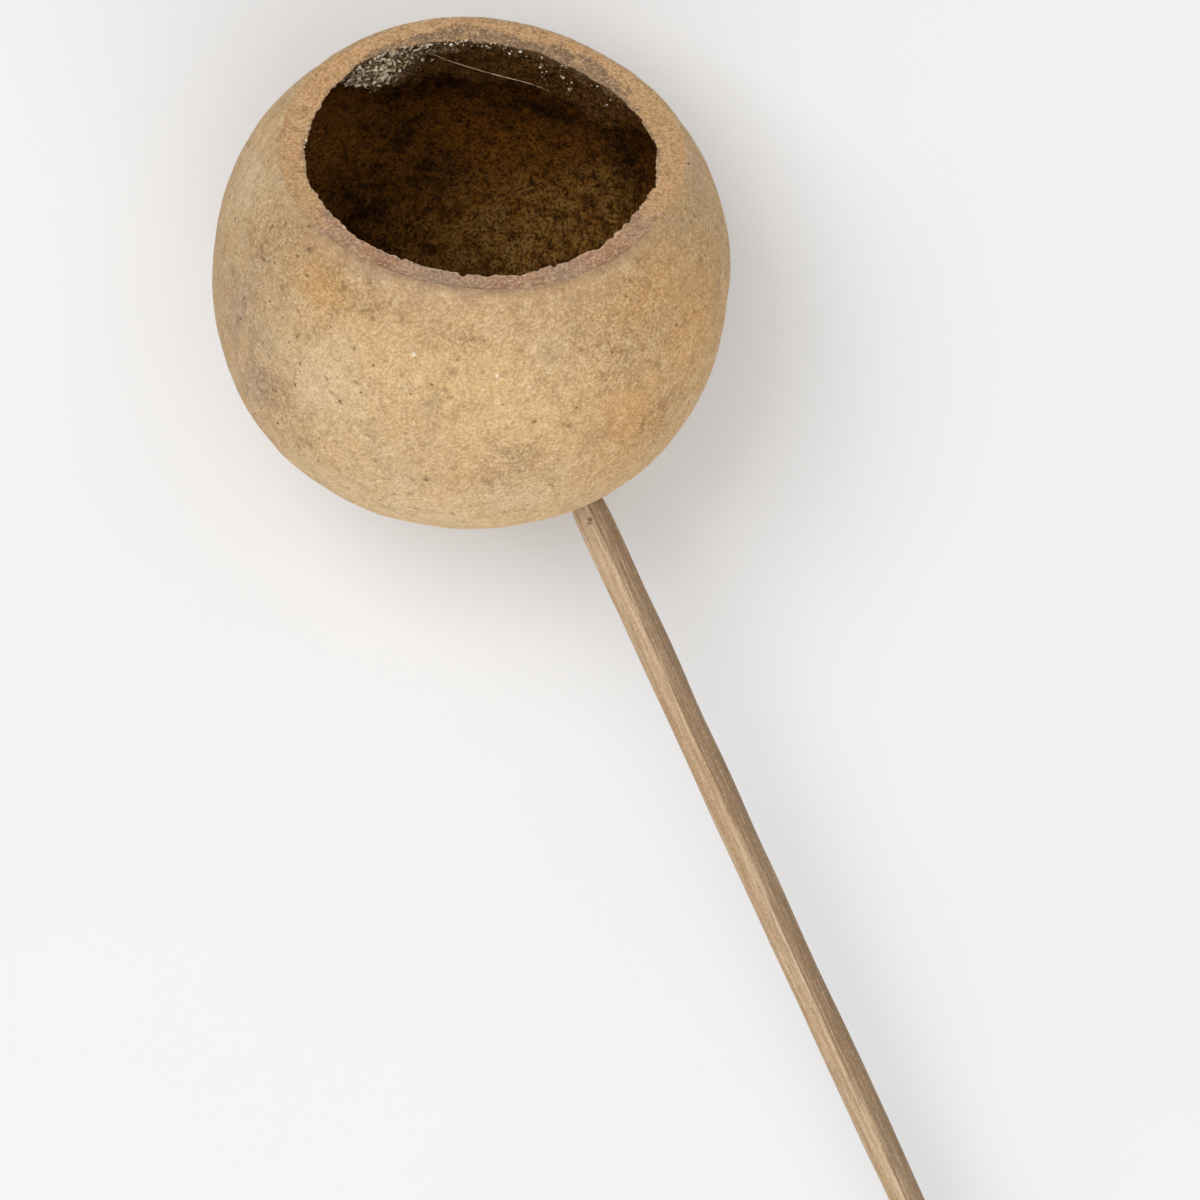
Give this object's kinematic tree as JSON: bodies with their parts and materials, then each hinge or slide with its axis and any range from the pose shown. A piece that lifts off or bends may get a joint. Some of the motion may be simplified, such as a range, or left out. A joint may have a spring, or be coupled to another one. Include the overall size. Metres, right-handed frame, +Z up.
{
  "type": "dried bell cup pod on a stem",
  "caption": "Round dried fruit shell, sawn open at the top and hollowed into a small cup, on a long thin reed stem pushed in through its side. It lies down for display or craft use.",
  "frame": {"origin": "on the surface the pod lies on, in the pod's small flat resting spot, under the pod's middle", "axes": "+Z up; the stem runs from the pod along -Y; the pod's mouth faces up and towards +Y and +X"},
  "size_m": [0.0583, 0.3053, 0.057],
  "materials": {
    "pod_shell": "matte",
    "stem_reed": "matte"
  },
  "bodies": {
    "root": {"cup_pod": "pod_shell", "stem": "stem_reed"}
  },
  "joints": []
}
